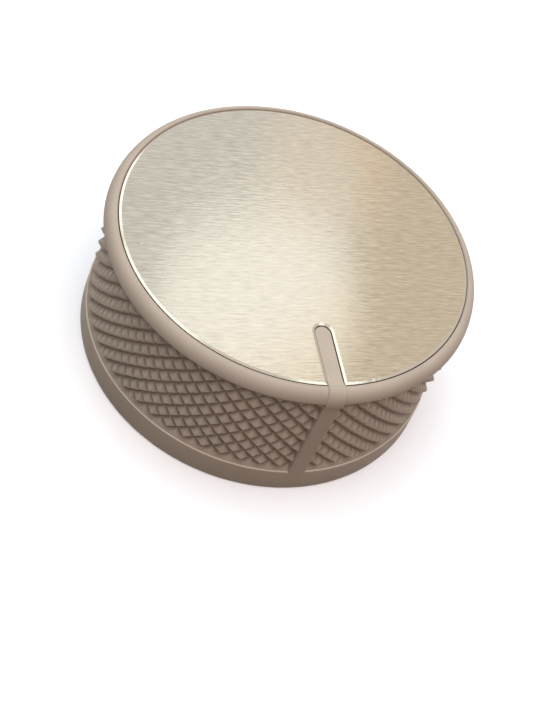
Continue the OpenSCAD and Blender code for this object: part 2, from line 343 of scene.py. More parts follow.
def arc(centre, radius, start, end, steps):
    """Points of an arc in a section, from one angle to another in degrees."""
    angles = [math.radians(start + (end - start) * k / steps) for k in range(steps + 1)]
    return [(centre[0] + radius * math.cos(a), centre[1] + radius * math.sin(a)) for a in angles]


def turned(name, section, segments):
    """A turned shape through the points of a section, given as radius and height."""
    angles = [math.tau * k / segments for k in range(segments)]
    return ring_stack(name, [[polar(r, a, z) for a in angles] for r, z in section])


def polar(r, a, z):
    """A point at an angle from the pointer's line."""
    return r * math.sin(a), -r * math.cos(a), z


def smooth_step(low, high, value):
    t = min(1.0, max(0.0, (value - low) / (high - low)))
    return t * t * (3.0 - 2.0 * t)


def settle(obj):
    """Turns the object's modifiers into a plain mesh of its own."""
    depsgraph = bpy.context.evaluated_depsgraph_get()
    mesh = bpy.data.meshes.new_from_object(
        obj.evaluated_get(depsgraph), preserve_all_data_layers=True, depsgraph=depsgraph,
    )
    obj.modifiers.clear()
    worn = obj.data
    obj.data = mesh
    bpy.data.meshes.remove(worn)
    mesh.name = obj.name


def combine(obj, tool, operation):
    """Joins a tool to the object or cuts it away, and removes the tool."""
    boolean = obj.modifiers.new(operation.title(), "BOOLEAN")
    boolean.operation = operation
    boolean.solver = "MANIFOLD"
    boolean.object = tool
    settle(obj)
    bpy.data.objects.remove(tool)
    if not obj.data.polygons:
        raise RuntimeError(f"{operation} left nothing of {obj.name}")


def crisp(obj, degrees):
    """Smooth shading that keeps edges sharper than the angle."""
    obj.data.polygons.foreach_set("use_smooth", [True] * len(obj.data.polygons))
    obj.data.set_sharp_from_angle(angle=math.radians(degrees))


def seat_piece(obj, slot, *nodes):
    """Puts a finished piece on the part, in place of its plain solids."""
    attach(obj, "root")
    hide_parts(*nodes)


# Node helpers

class NodeDesk:
    """Adds nodes to a tree and wires them."""

    def __init__(self, tree):
        self.tree = tree

    def add(self, kind, **settings):
        made = self.tree.nodes.new(kind)
        for key, value in settings.items():
            setattr(made, key, value)
        return made

    def wire(self, value, socket):
        """Links an output to the socket, or sets the socket to a plain value."""
        if isinstance(value, bpy.types.NodeSocket):
            self.tree.links.new(value, socket)
        else:
            socket.default_value = value

    def feed(self, made, **values):
        """Wires values to a node's inputs by name, with _ for a space."""
        for name, value in values.items():
            self.wire(value, made.inputs[name.replace("_", " ")])
        return made

    def math(self, operation, *values):
        made = self.add("ShaderNodeMath", operation=operation)
        for value, socket in zip(values, made.inputs):
            self.wire(value, socket)
        return made.outputs[0]

    def total(self, *values):
        return reduce(lambda a, b: self.math("ADD", a, b), values)

    def product(self, *values):
        return reduce(lambda a, b: self.math("MULTIPLY", a, b), values)

    def scaled(self, value, low, high, to_low, to_high):
        """Maps a value from one range to another and clamps it there."""
        made = self.add("ShaderNodeMapRange")
        for part, socket in zip((value, low, high, to_low, to_high), made.inputs):
            self.wire(part, socket)
        return made.outputs[0]

    def noise(self, coords, stretch, detail=2.0, roughness=0.5):
        """Noise on coordinates that are multiplied by a stretch along each axis."""
        mapping = self.add("ShaderNodeMapping")
        self.wire(coords, mapping.inputs["Vector"])
        mapping.inputs["Scale"].default_value = stretch
        made = self.add("ShaderNodeTexNoise")
        self.feed(made, Vector=mapping.outputs[0], Scale=1.0, Detail=detail, Roughness=roughness)
        return made.outputs["Fac"]

    def mixed(self, share_of_b, a, b, blend_type="MIX"):
        """Mix of two colours."""
        made = self.add("ShaderNodeMix", data_type="RGBA", blend_type=blend_type)
        self.wire(share_of_b, made.inputs[0])
        self.wire(a, made.inputs[6])
        self.wire(b, made.inputs[7])
        return made.outputs[2]

    def attribute(self, name):
        """A number kept on the mesh."""
        return self.add("ShaderNodeAttribute", attribute_name=name).outputs["Fac"]

    def relief(self, shader, height, strength, distance):
        """Fine bumps on a material's surface."""
        bump = self.feed(self.add("ShaderNodeBump"), Strength=strength, Distance=distance, Height=height)
        self.wire(bump.outputs[0], shader.inputs["Normal"])


def new_material(name):
    """A node material: the desk for its tree, its shader and its Object coordinates."""
    material = bpy.data.materials.new(name)
    material.use_nodes = True
    desk = NodeDesk(material.node_tree)
    shader = material.node_tree.nodes["Principled BSDF"]
    coords = desk.add("ShaderNodeTexCoord").outputs["Object"]
    return material, desk, shader, coords


def opaque(rgb, level=1.0):
    """A colour for a node, made brighter or darker by a level."""
    return (*(level * part for part in rgb), 1.0)


# Materials

def satin_plastic(finish):
    """Moulded taupe plastic with a fine grain and a faint cloudiness, with painted shade in the grooves and
    on the slope above the ledge, and a painted highlight on the ledge's edge.
    """
    material, desk, shader, coords = new_material("satin_plastic")
    groove = desk.attribute("groove")
    cloud = desk.noise(coords, (160.0, 160.0, 160.0), detail=3.0)
    grain = desk.noise(coords, (5200.0, 5200.0, 5200.0), detail=3.0, roughness=0.65)
    # Painted shade: the colour grows darker towards the bottom of the grooves and on the slope above the
    # ledge
    depth = desk.math("POWER", groove, finish.plastic_fall)
    tone = desk.mixed(depth, opaque(finish.plastic), opaque(finish.plastic_painted_shade))
    # Painted highlight: a lighter plastic on the ledge's rounded edge
    tone = desk.mixed(desk.attribute("edge"), tone, opaque(finish.plastic_painted_highlight))
    patches = desk.scaled(cloud, 0.3, 0.7, 0.94, 1.05)
    light = desk.total(patches, desk.scaled(grain, 0.3, 0.7, -0.03, 0.03))
    tone = desk.mixed(1.0, tone, light, "MULTIPLY")
    rough = desk.total(desk.scaled(grain, 0.25, 0.75, -0.07, 0.07), finish.plastic_rough)
    rough = desk.total(rough, desk.product(groove, 0.12))
    desk.feed(shader, Base_Color=tone, Roughness=rough, Specular_IOR_Level=finish.plastic_gloss)
    desk.relief(shader, grain, strength=0.25, distance=0.02 * MM)
    return material


def oval_mark(desk, coords, at, half):
    """1 on a small oval of the face, with a soft edge, and 0 elsewhere."""
    mapping = desk.add("ShaderNodeMapping")
    desk.wire(coords, mapping.inputs["Vector"])
    mapping.inputs["Location"].default_value = (-at[0] / half[0], -at[1] / half[1], 0.0)
    mapping.inputs["Scale"].default_value = (1.0 / half[0], 1.0 / half[1], 0.0)
    away = desk.add("ShaderNodeVectorMath", operation="LENGTH")
    desk.wire(mapping.outputs[0], away.inputs[0])
    return desk.scaled(away.outputs["Value"], 0.5, 1.0, 1.0, 0.0)


def brushed_aluminium(finish):
    """Aluminium with straight brush lines along X, and a highlight that spreads across them."""
    material, desk, shader, coords = new_material("brushed_aluminium")
    dashes = desk.noise(coords, (620.0, 4400.0, 1.0), detail=2.0, roughness=0.5)
    lines = desk.noise(coords, (40.0, 3400.0, 1.0), detail=3.0, roughness=0.65)
    streak = desk.total(desk.product(dashes, 0.7), desk.product(lines, 0.3))
    light = desk.scaled(streak, 0.34, 0.66, 0.865, 1.135)
    tone = desk.mixed(1.0, opaque(finish.aluminium), light, "MULTIPLY")
    marks = desk.total(oval_mark(desk, coords, *SCRATCH), oval_mark(desk, coords, *SPECK))
    marks = desk.product(marks, finish.scratch_share)
    tone = desk.mixed(marks, tone, opaque(finish.scratch))
    rough = desk.scaled(streak, 0.3, 0.7, finish.aluminium_rough - 0.05, finish.aluminium_rough + 0.05)
    tangent = desk.add("ShaderNodeTangent", direction_type="UV_MAP", uv_map="across_brush").outputs[0]
    desk.feed(shader, Base_Color=tone, Roughness=rough, Metallic=1.0)
    desk.feed(shader, Anisotropic=finish.aluminium_grain, Tangent=tangent)
    desk.relief(shader, streak, strength=1.0, distance=0.013 * MM)
    return material


def cut_aluminium(finish):
    """Bright cut bevels with faint tool marks."""
    material, desk, shader, coords = new_material("cut_aluminium")
    marks = desk.noise(coords, (2600.0, 2600.0, 9000.0), detail=2.0)
    rough = desk.scaled(marks, 0.3, 0.7, finish.cut_rough - 0.04, finish.cut_rough + 0.06)
    tone = desk.mixed(marks, opaque(finish.cut_edge), opaque(finish.cut_edge, 0.94))
    desk.feed(shader, Base_Color=tone, Roughness=rough, Metallic=1.0)
    return material


def spring_steel(finish):
    """Cold-rolled strip with fine lines along its length."""
    material, desk, shader, coords = new_material("spring_steel")
    rolling = desk.noise(coords, (120.0, 120.0, 6500.0), detail=3.0, roughness=0.6)
    stain = desk.scaled(desk.noise(coords, (420.0, 420.0, 420.0), detail=3.0), 0.35, 0.75, 0.0, 1.0)
    tone = desk.mixed(stain, opaque(finish.steel), opaque(finish.steel, 0.72))
    rough = desk.scaled(rolling, 0.3, 0.7, finish.steel_rough - 0.08, finish.steel_rough + 0.1)
    desk.feed(shader, Base_Color=tone, Roughness=rough, Metallic=1.0)
    desk.relief(shader, rolling, strength=0.15, distance=0.01 * MM)
    return material


def adhesive_film(finish):
    """Milky double-sided film with a fibrous carrier."""
    material, desk, shader, coords = new_material("adhesive_film")
    fibres = desk.noise(coords, (900.0, 3200.0, 900.0), detail=4.0, roughness=0.65)
    tone = desk.mixed(fibres, opaque(finish.film), opaque(finish.film, 0.85))
    desk.feed(shader, Base_Color=tone, Roughness=desk.scaled(fibres, 0.3, 0.7, 0.42, 0.6))
    return material


def pale_floor(stage):
    """White to the eye, with the object's shadow, and dark to the light that it throws back."""
    material, desk, shader, _ = new_material("pale_floor")
    tree = material.node_tree
    tree.nodes.remove(shader)
    choice = desk.add("ShaderNodeMixShader")
    desk.wire(shown_rays(desk), choice.inputs[0])
    for socket, tint in zip(choice.inputs[1:], (stage.floor_lit, stage.floor_seen)):
        coat = desk.feed(desk.add("ShaderNodeBsdfDiffuse"), Color=opaque(tint))
        desk.wire(coat.outputs[0], socket)
    desk.wire(choice.outputs[0], tree.nodes["Material Output"].inputs["Surface"])
    return material


def shown_rays(desk):
    """1 for rays from the camera, from gloss and through glass, 0 for the rest."""
    path = desk.add("ShaderNodeLightPath")
    direct = desk.math("MAXIMUM", path.outputs["Is Camera Ray"], path.outputs["Is Glossy Ray"])
    return desk.math("MAXIMUM", direct, path.outputs["Is Transmission Ray"])


# Body

def ledge_radius(body):
    return body.foot_r - body.flange_taper


def tip_radius(z, body, knurl):
    return ledge_radius(body) - knurl.ledge_w - (z - body.flange_h) * math.tan(knurl.draft)


def rim_crown():
    """Height of the plain rim, below the strip that crosses it."""
    return BODY_TOP.z - bpy.context.scene.knob_pointer.strip_proud


def rim_point(body, turn, out=0.0):
    """Point on the rim's rounded cap, or on the strip that stands out from it."""
    centre_r = body.foot_r - body.rim_inset - body.rim_w
    centre_z = rim_crown() - body.rim_h
    return centre_r + (body.rim_w + out) * math.cos(turn), centre_z + (body.rim_h + out) * math.sin(turn)


def rim_side(body, z, out=0.0):
    """Point at a height on the side of the cap or of the strip."""
    above = max(0.0, z - rim_crown() + body.rim_h)
    return rim_point(body, math.asin(above / (body.rim_h + out)), out)[0], z


def rim_low(body):
    """Height of the rim's lower edge, where the knurl runs out under it."""
    return rim_crown() - body.rim_drop


def skin_rows(body, knurl, pointer):
    """Section of the body from foot to seat: for each row a point on the wall and one on the band."""
    ledge_r = ledge_radius(body)
    band_low = body.flange_h - body.ledge_round
    band_top = rim_crown() - pointer.band_drop
    slope_top = body.flange_h + body.slope_h
    root_low = tip_radius(body.flange_h, body, knurl) - knurl.depth
    core_r = tip_radius(rim_low(body), body, knurl) - knurl.depth - knurl.core_gap

    def band(z):
        if z > band_top:
            return rim_side(body, z, pointer.strip_proud)
        return ledge_r - pointer.band_lean * (z - band_low) / (band_top - band_low), z

    def wall(z):
        if z < slope_top:
            start = ledge_r - body.ledge_round
            return start + (root_low - start) * (z - body.flange_h) / body.slope_h, z
        return core_r, z

    foot = arc((body.foot_r - body.foot_round, body.foot_round), body.foot_round, -90, 0, 5)
    rows = [(point, point) for point in foot]
    ledge = arc((ledge_r - body.ledge_round, band_low), body.ledge_round, 0, 90, 6)
    rows += [(point, band(point[1])) for point in ledge]
    step = knurl.pitch / 2 / knurl.steps
    first = body.flange_h + knurl.first
    edge_low = rim_low(body) - body.rim_soft
    clear = 0.3 * step
    lowest = math.ceil((body.flange_h - first) / step + 0.5)
    highest = math.ceil((edge_low - first) / step)
    grid = [first + k * step for k in range(lowest, highest)]
    heights = [z for z in grid if z < edge_low - clear and abs(z - band_top) > clear]
    heights += [body.flange_h + body.ledge_line, band_top]
    rows += [(wall(z), band(z)) for z in sorted(heights)]
    edge_at = (rim_side(body, rim_low(body))[0] - body.rim_soft, rim_low(body))
    rows += [(point, band(point[1])) for point in arc(edge_at, body.rim_soft, -80, 0, 5)]
    start = math.asin((rim_low(body) - rim_crown() + body.rim_h) / body.rim_h)
    end = math.radians(86)
    cap_steps = 20
    for k in range(1, cap_steps + 1):
        turn = start + (end - start) * k / cap_steps
        rows.append((rim_point(body, turn), rim_point(body, turn, pointer.strip_proud)))
    recess_r = bpy.context.scene.knob_disc.radius + body.recess_gap
    edge_at = (recess_r + body.recess_round, rim_crown() - body.recess_round)
    strip_z = rim_crown() + pointer.strip_proud
    edge_steps = 4
    for k, point in enumerate(arc(edge_at, body.recess_round, 90, 180, edge_steps)):
        part = k / edge_steps
        rows.append((point, (edge_at[0] - body.recess_round * part, strip_z - pointer.edge_w * part)))
    rows.append(((recess_r, body.seat_z), (recess_r, body.seat_z)))
    return rows


def skin_columns(body, knurl, pointer):
    """Angle of each column and whether it is on the band, with a close pair at each edge of the band."""
    count = 2 * knurl.steps * knurl.cells
    ledge_r = ledge_radius(body)
    inside = math.asin((pointer.band_w - pointer.edge_w) / 2 / ledge_r)
    outside = math.asin((pointer.band_w + pointer.edge_w) / 2 / ledge_r)
    angles = [math.tau * (k - count // 2) / count for k in range(count)]
    angles += [-outside, -inside, inside, outside]
    middle = (inside + outside) / 2
    return [(a, abs(a) < middle) for a in sorted(angles)]


def plain_skin(body, knurl, pointer):
    """Closed outer skin without diamonds, on a grid whose diagonals follow the knurl's grooves."""
    rows = skin_rows(body, knurl, pointer)
    columns = skin_columns(body, knurl, pointer)
    first = body.flange_h + knurl.first

    def split(i, j):
        low, high = rows[j][0][1], rows[j + 1][0][1]
        if low < body.flange_h or high > rim_low(body):
            return None
        ahead = columns[i + 1][0] if i + 1 < len(columns) else columns[0][0] + math.tau
        u = (columns[i][0] + ahead) / 2 * knurl.cells / math.tau
        v = ((low + high) / 2 - first) / knurl.pitch
        across = abs(u + v - round(u + v))
        along = abs(u - v - round(u - v))
        return "falling" if across > along else "rising"

    rings = []
    for wall, band in rows:
        spots = [(turn, band if on_band else wall) for turn, on_band in columns]
        rings.append([polar(r, turn, z) for turn, (r, z) in spots])
    return ring_stack("knob_body_skin", rings, split)


def knurl_tree(sizes):
    """Geometry Nodes tree that raises the diamonds from the plain skin, with an input for each size."""
    tree = bpy.data.node_groups.new("diamond_knurl", "GeometryNodeTree")
    kinds = {"Geometry": "Geometry", **dict.fromkeys(sizes, "Float"), "Material": "Material"}
    for name, kind in kinds.items():
        tree.interface.new_socket(name=name, in_out="INPUT", socket_type=f"NodeSocket{kind}")
    tree.interface.new_socket(name="Geometry", in_out="OUTPUT", socket_type="NodeSocketGeometry")
    desk = NodeDesk(tree)
    given = desk.add("NodeGroupInput").outputs
    spot = desk.add("ShaderNodeSeparateXYZ")
    desk.wire(desk.add("GeometryNodeInputPosition").outputs[0], spot.inputs[0])
    x, y, z = spot.outputs
    radius = desk.math("SQRT", desk.total(desk.product(x, x), desk.product(y, y)))
    turn = desk.math("ARCTAN2", x, desk.product(y, -1.0))

    # Place in the lattice: u + v and u - v are whole numbers at the tips and halves in the grooves
    u = desk.product(turn, desk.math("DIVIDE", given["Cells"], math.tau))
    v = desk.math("DIVIDE", desk.math("SUBTRACT", z, given["First tip"]), given["Pitch"])
    away = []
    for line in (desk.total(u, v), desk.math("SUBTRACT", u, v)):
        away.append(desk.math("ABSOLUTE", desk.math("SUBTRACT", line, desk.math("ROUND", line))))
    out = desk.math("SMOOTH_MAX", *away, given["Softening"])
    drop = desk.math("MINIMUM", desk.product(out, 2.0), 1.0)

    # Radius of the diamonds there, joined to the plain skin with a small blend
    lean = desk.product(desk.math("SUBTRACT", z, given["Low"]), given["Taper"])
    tip = desk.math("SUBTRACT", given["Tip radius"], lean)
    diamond = desk.math("SUBTRACT", tip, desk.product(drop, given["Depth"]))
    raised = desk.math("SMOOTH_MAX", radius, diamond, given["Blend"])

    # Zone of the diamonds: the outer skin beside the band, between the ledge and the rim
    beside = desk.math("GREATER_THAN", desk.math("ABSOLUTE", turn), given["Band angle"])
    outer = desk.product(beside, desk.math("GREATER_THAN", radius, given["Inside"]))
    above = desk.math("GREATER_THAN", z, given["Zone low"])
    zone = desk.product(outer, above, desk.math("LESS_THAN", z, given["High"]))

    # Painted shade in the grooves and on the slope, and a painted highlight on the ledge's edge
    deep = desk.scaled(drop, given["Shade from"], given["Shade full"], 0.0, 1.0)
    rise = desk.scaled(z, given["Low"], given["Shade top"], 0.0, 1.0)
    slope = desk.product(desk.math("SUBTRACT", 1.0, rise), given["Slope shade"])
    groove = desk.product(zone, desk.total(desk.product(deep, rise), slope))
    facing_up = desk.scaled(z, given["Edge low"], given["Low"], 0.0, 1.0)
    edge = desk.product(outer, facing_up, desk.math("SUBTRACT", 1.0, above))

    # The plastic's colour reads these: groove holds the painted shade, edge the painted highlight
    shape = given["Geometry"]
    for name, value in (("groove", groove), ("edge", edge)):
        stored = desk.add("GeometryNodeStoreNamedAttribute", data_type="FLOAT", domain="POINT")
        shape = desk.feed(stored, Geometry=shape, Name=name, Value=value).outputs[0]
    grown = desk.math("DIVIDE", raised, radius)
    moved = desk.add("ShaderNodeCombineXYZ")
    desk.feed(moved, X=desk.product(x, grown), Y=desk.product(y, grown), Z=z)
    placed = desk.add("GeometryNodeSetPosition")
    desk.feed(placed, Geometry=shape, Selection=zone, Position=moved.outputs[0])
    realized = desk.add("GeometryNodeRealizeInstances")
    desk.wire(placed.outputs[0], realized.inputs["Geometry"])
    painted = desk.add("GeometryNodeSetMaterial")
    desk.feed(painted, Geometry=realized.outputs[0], Material=given["Material"])
    desk.wire(painted.outputs[0], desk.add("NodeGroupOutput").inputs[0])
    return tree


def raise_diamonds(obj, body, knurl, pointer, material):
    sizes = {
        "Cells": float(knurl.cells),
        "Pitch": knurl.pitch,
        "Depth": knurl.depth,
        "Softening": knurl.soften,
        "Shade from": knurl.shade_from,
        "Shade full": knurl.shade_full,
        "Shade top": body.flange_h + knurl.shade_rise,
        "Slope shade": knurl.slope_shade,
        "First tip": body.flange_h + knurl.first,
        "Tip radius": tip_radius(body.flange_h, body, knurl),
        "Taper": math.tan(knurl.draft),
        "Blend": knurl.blend,
        "Band angle": math.asin(pointer.band_w / 2 / ledge_radius(body)),
        "Edge low": body.flange_h - body.ledge_round / 2,
        "Low": body.flange_h,
        "Zone low": body.flange_h + body.ledge_line / 2,
        "High": rim_low(body),
        "Inside": tip_radius(rim_low(body), body, knurl) - 2 * knurl.depth,
    }
    tree = knurl_tree(sizes)
    modifier = obj.modifiers.new("Diamond knurl", "NODES")
    modifier.node_group = tree
    values = {**sizes, "Material": material}
    for item in tree.interface.items_tree:
        if item.in_out == "INPUT" and item.name in values:
            modifier[item.identifier] = values[item.name]
    settle(obj)
    bpy.data.node_groups.remove(tree)


def pointer_rib(body, pointer, disc):
    """Rib in the disc's slot: a U with a round inner end, crowned, that climbs to the strip over the rim."""
    half = pointer.rib_w / 2
    end_y = -(pointer.rib_start + half)
    recess_r = disc.radius + body.recess_gap
    out_y = -(recess_r + body.rim_w / 3)
    top = disc.face_z - pointer.rib_sink
    climb = rim_crown() + pointer.strip_proud - pointer.edge_w - pointer.rib_crown - top
    side_steps = 40
    end_steps = 32

    def height(y, inset):
        rise = smooth_step(recess_r - pointer.ramp, recess_r, -y) * climb
        if inset < pointer.rib_round:
            side = pointer.rib_round - inset
            return top + rise - pointer.rib_round + math.sqrt(pointer.rib_round ** 2 - side ** 2)
        share_in = (inset - pointer.rib_round) / (half - pointer.rib_round)
        return top + rise + pointer.rib_crown * (1.0 - (1.0 - share_in) ** 2)

    def outline(inset):
        w = half - inset
        side = [(w, out_y + (end_y - out_y) * k / side_steps) for k in range(side_steps)]
        turn = arc((0.0, end_y), w, 0, 180, end_steps)
        return side + turn + [(-x, y) for x, y in reversed(side)]

    foot_z = body.seat_z - 0.3 * MM
    rings = [[(x, y, foot_z) for x, y in outline(0.0)]]
    insets = [pointer.rib_round * (1.0 - math.cos(math.radians(a))) for a in (0, 20, 40, 60, 75, 90)]
    insets += [pointer.rib_round + (half - pointer.rib_round) * k for k in (0.2, 0.4, 0.6, 0.8)]
    rings += [[(x, y, height(y, inset)) for x, y in outline(inset)] for inset in insets]
    return ring_stack("pointer_rib", rings, bridged=True)


def hollow_tool(socket, clip):
    """Space under the deck, round the hub and its clip groove, without the four ribs."""
    slant = math.tan(socket.wall_draft)
    below = -0.5 * MM
    groove_r = socket.hub_r - socket.groove
    hub_top = socket.hub_r + slant * socket.deck_z
    section = [(socket.wall_r + slant * socket.deck_z, below)]
    section += arc((socket.wall_r - socket.fillet, socket.deck_z - socket.fillet), socket.fillet, 0, 90, 5)
    section += arc((hub_top + socket.fillet, socket.deck_z - socket.fillet), socket.fillet, 90, 180, 5)
    section += [
        (socket.hub_r, clip.high_z),
        (groove_r, clip.high_z),
        (groove_r, clip.low_z),
        (socket.hub_r, clip.low_z),
        (socket.hub_r, socket.hub_z + socket.hub_chamfer),
        (socket.hub_r - socket.hub_chamfer, socket.hub_z),
    ]
    tool = turned("hollow", section, segments=160)
    for quarter in range(4):
        combine(tool, stiffening_rib(socket, math.radians(45 + 90 * quarter)), "DIFFERENCE")
    return tool


def stiffening_rib(socket, turn):
    """One tapered rib from the hub to the wall, with a rounded lower edge."""
    half_low = (socket.rib_t - socket.rib_taper) / 2
    half_high = socket.rib_t / 2
    start, end = socket.hub_r - MM, socket.wall_r + MM
    top = socket.deck_z + MM
    soft = half_low / 2
    section = [(half_high, top), (half_low, socket.rib_z + soft)]
    section += arc((half_low - soft, socket.rib_z + soft), soft, -15, -75, 3)
    section += [(-w, z) for w, z in reversed(section)]
    along = Vector((math.cos(turn), math.sin(turn)))
    side = Vector((-along.y, along.x))
    rings = []
    for reach in (start, end):
        spots = [(along * reach + side * w, z) for w, z in section]
        rings.append([(spot.x, spot.y, z) for spot, z in spots])
    rib = ring_stack("stiffening_rib", rings)
    rib.data.flip_normals()
    return rib


def socket_tool(socket):
    """Round mouth with a lead-in, then the D whose flat faces away from the pointer."""
    below = socket.hub_z - 0.5 * MM
    segments = 96
    angles = [math.tau * k / segments for k in range(segments)]

    def d_ring(radius, z):
        points = [polar(radius, a, z) for a in angles]
        return [(x, min(y, socket.flat_at), z) for x, y, z in points]

    step = socket.mouth_r - socket.socket_r
    mouth_end = socket.hub_z + socket.mouth_depth
    wide = socket.mouth_r + socket.lead_in
    rings = [[polar(r, a, z) for a in angles] for r, z in (
        (wide, below),
        (wide, socket.hub_z),
        (socket.mouth_r, socket.hub_z + socket.lead_in),
        (socket.mouth_r, mouth_end),
    )]
    rings += [d_ring(socket.socket_r, mouth_end + step), d_ring(socket.socket_r, socket.socket_z)]
    return ring_stack("shaft_socket", rings)


def slit_tool(socket):
    """One blade that cuts both slits of the hub."""
    reach = socket.hub_r + MM
    half = socket.slit_w / 2
    corners = [(-reach, -half), (reach, -half), (reach, half), (-reach, half)]
    return ring_stack("slits", [[(x, y, z) for x, y in corners] for z in (socket.hub_z - MM, socket.slit_z)])


# Face disc

def slotted_outline(radius, half, end_y, edge_steps, nicks=()):
    """Outline of the disc with its open slot, anticlockwise from the slot's right-hand corner."""
    corner = math.asin(half / radius)
    points = []
    for k in range(edge_steps + 1):
        a = corner + (math.tau - 2 * corner) * k / edge_steps
        cut = sum(depth * math.exp(-((a - at) / spread) ** 2) for at, spread, depth in nicks)
        points.append(polar(radius - cut, a, 0.0)[:2])
    side_steps = 16
    end_steps = 48
    low_y = -radius * math.cos(corner)
    side = [(-half, low_y + (end_y - low_y) * k / side_steps) for k in range(1, side_steps)]
    turn = arc((0.0, end_y), half, 180, 0, end_steps)
    return points + side + turn + [(-x, y) for x, y in reversed(side)]


def disc_mesh(disc, pointer):
    half = pointer.rib_w / 2 + disc.slot_gap
    end_y = -(pointer.rib_start + pointer.rib_w / 2)
    spread = disc.nick_w / 2 / disc.radius
    nicks = [(math.radians(at), wide * spread, deep * disc.nick_depth) for at, wide, deep in NICKS]
    edge_steps = 900
    edge = slotted_outline(disc.radius, half, end_y, edge_steps)
    face = slotted_outline(disc.radius - disc.bevel, half + disc.bevel, end_y, edge_steps, nicks)
    rings = [
        [(x, y, disc.low_z) for x, y in edge],
        [(x, y, disc.face_z - disc.bevel_drop) for x, y in edge],
        [(x, y, disc.face_z) for x, y in face],
    ]
    return ring_stack("face_disc_brushed", rings)


def mark_brushing(obj, disc):
    """UV map whose U runs across the brush lines, and a flat face with the second material on the rest."""
    layer = obj.data.uv_layers.new(name="across_brush")
    points = obj.data.vertices
    for loop in obj.data.loops:
        spot = points[loop.vertex_index].co
        layer.data[loop.index].uv = (0.5 + spot.y / (2 * disc.radius), 0.5 - spot.x / (2 * disc.radius))
    for face in obj.data.polygons:
        brushed = face.normal.z > 0.99
        face.material_index = 0 if brushed else 1
        face.use_smooth = not brushed


# Spring clip

def clip_path(clip):
    """Middle line of the strip in plan: outturned end, ring, outturned end."""
    ring_r = clip.outer_r - clip.thickness / 2
    end_x = (clip.mouth + clip.thickness) / 2
    corner = Vector((end_x, math.sqrt(ring_r ** 2 - end_x ** 2)))
    bend = 2.2 * clip.thickness
    first = math.acos(corner.x / ring_r) - bend / ring_r
    start = Vector((end_x, corner.y + bend))
    joint = Vector((ring_r * math.cos(first), ring_r * math.sin(first)))
    half = [Vector((end_x, clip.end_y))]
    bend_steps = 8
    for k in range(bend_steps + 1):
        t = k / bend_steps
        half.append((1 - t) ** 2 * start + 2 * t * (1 - t) * corner + t * t * joint)
    ring_steps = 48
    for k in range(1, ring_steps + 1):
        a = first + (-math.pi / 2 - first) * k / ring_steps
        half.append(Vector((ring_r * math.cos(a), ring_r * math.sin(a))))
    return half + [Vector((-p.x, p.y)) for p in reversed(half[:-1])]


def clip_mesh(clip):
    path = clip_path(clip)
    low, high = clip.low_z, clip.high_z
    soft = clip.edge_round
    half = clip.thickness / 2
    section = []
    for w, z, start in ((half - soft, low + soft, -90), (half - soft, high - soft, 0),
                        (soft - half, high - soft, 90), (soft - half, low + soft, 180)):
        section += arc((w, z), soft, start, start + 90, 4)
    rings = []
    for k, spot in enumerate(path):
        ahead = path[min(k + 1, len(path) - 1)] - path[max(k - 1, 0)]
        side = Vector((ahead.y, -ahead.x)).normalized()
        rings.append([(*(spot + side * w), z) for w, z in reversed(section)])
    return ring_stack("spring_clip", rings)


# Operators

class KNOB_OT_body(bpy.types.Operator):
    """Moulded body with diamonds, rim, pointer and hollow underside"""
    bl_idname = "knob.make_body"
    bl_label = "Body"

    def execute(self, context):
        scene = context.scene
        body, knurl, pointer = scene.knob_body, scene.knob_knurl, scene.knob_pointer
        socket = scene.knob_socket
        material = satin_plastic(scene.knob_finish)
        piece = plain_skin(body, knurl, pointer)
        raise_diamonds(piece, body, knurl, pointer, material)
        combine(piece, pointer_rib(body, pointer, scene.knob_disc), "UNION")
        combine(piece, hollow_tool(socket, scene.knob_clip), "DIFFERENCE")
        combine(piece, socket_tool(socket), "DIFFERENCE")
        combine(piece, slit_tool(socket), "DIFFERENCE")
        piece.data.materials.clear()
        piece.data.materials.append(material)
        crisp(piece, degrees=38)
        seat_piece(piece, "body_plastic", "knob_body")
        return {"FINISHED"}


class KNOB_OT_face_disc(bpy.types.Operator):
    """Brushed disc with bright cut bevels and a slot for the pointer"""
    bl_idname = "knob.make_face_disc"
    bl_label = "Face disc"

    def execute(self, context):
        scene = context.scene
        piece = disc_mesh(scene.knob_disc, scene.knob_pointer)
        piece.data.materials.append(brushed_aluminium(scene.knob_finish))
        piece.data.materials.append(cut_aluminium(scene.knob_finish))
        crisp(piece, degrees=12)
        mark_brushing(piece, scene.knob_disc)
        seat_piece(piece, "face_aluminium", "face_disc")
        return {"FINISHED"}


class KNOB_OT_film(bpy.types.Operator):
    """Adhesive film under the disc: the packed solid with its finish"""
    bl_idname = "knob.dress_film"
    bl_label = "Adhesive film"

    def execute(self, context):
        film = frame["nodes"]["disc_adhesive"]
        film.data.materials.clear()
        film.data.materials.append(adhesive_film(context.scene.knob_finish))
        return {"FINISHED"}


class KNOB_OT_spring_clip(bpy.types.Operator):
    """Open ring of spring strip round the hub, with outturned ends"""
    bl_idname = "knob.make_spring_clip"
    bl_label = "Spring clip"

    def execute(self, context):
        piece = clip_mesh(context.scene.knob_clip)
        piece.data.materials.append(spring_steel(context.scene.knob_finish))
        crisp(piece, degrees=40)
        seat_piece(piece, "spring_steel", "hub_spring_clip")
        return {"FINISHED"}


class KNOB_OT_stage(bpy.types.Operator):
    """Plain pale floor, soft lights and the camera"""
    bl_idname = "knob.make_stage"
    bl_label = "Stage"

    def execute(self, context):
        stage = context.scene.knob_stage
        add_floor(stage)
        add_world(stage)
        for name in PANELS:
            add_panel_light(name, context.scene.knob_lights)
        add_camera(stage)
        context.scene.view_settings.view_transform = "Standard"
        return {"FINISHED"}


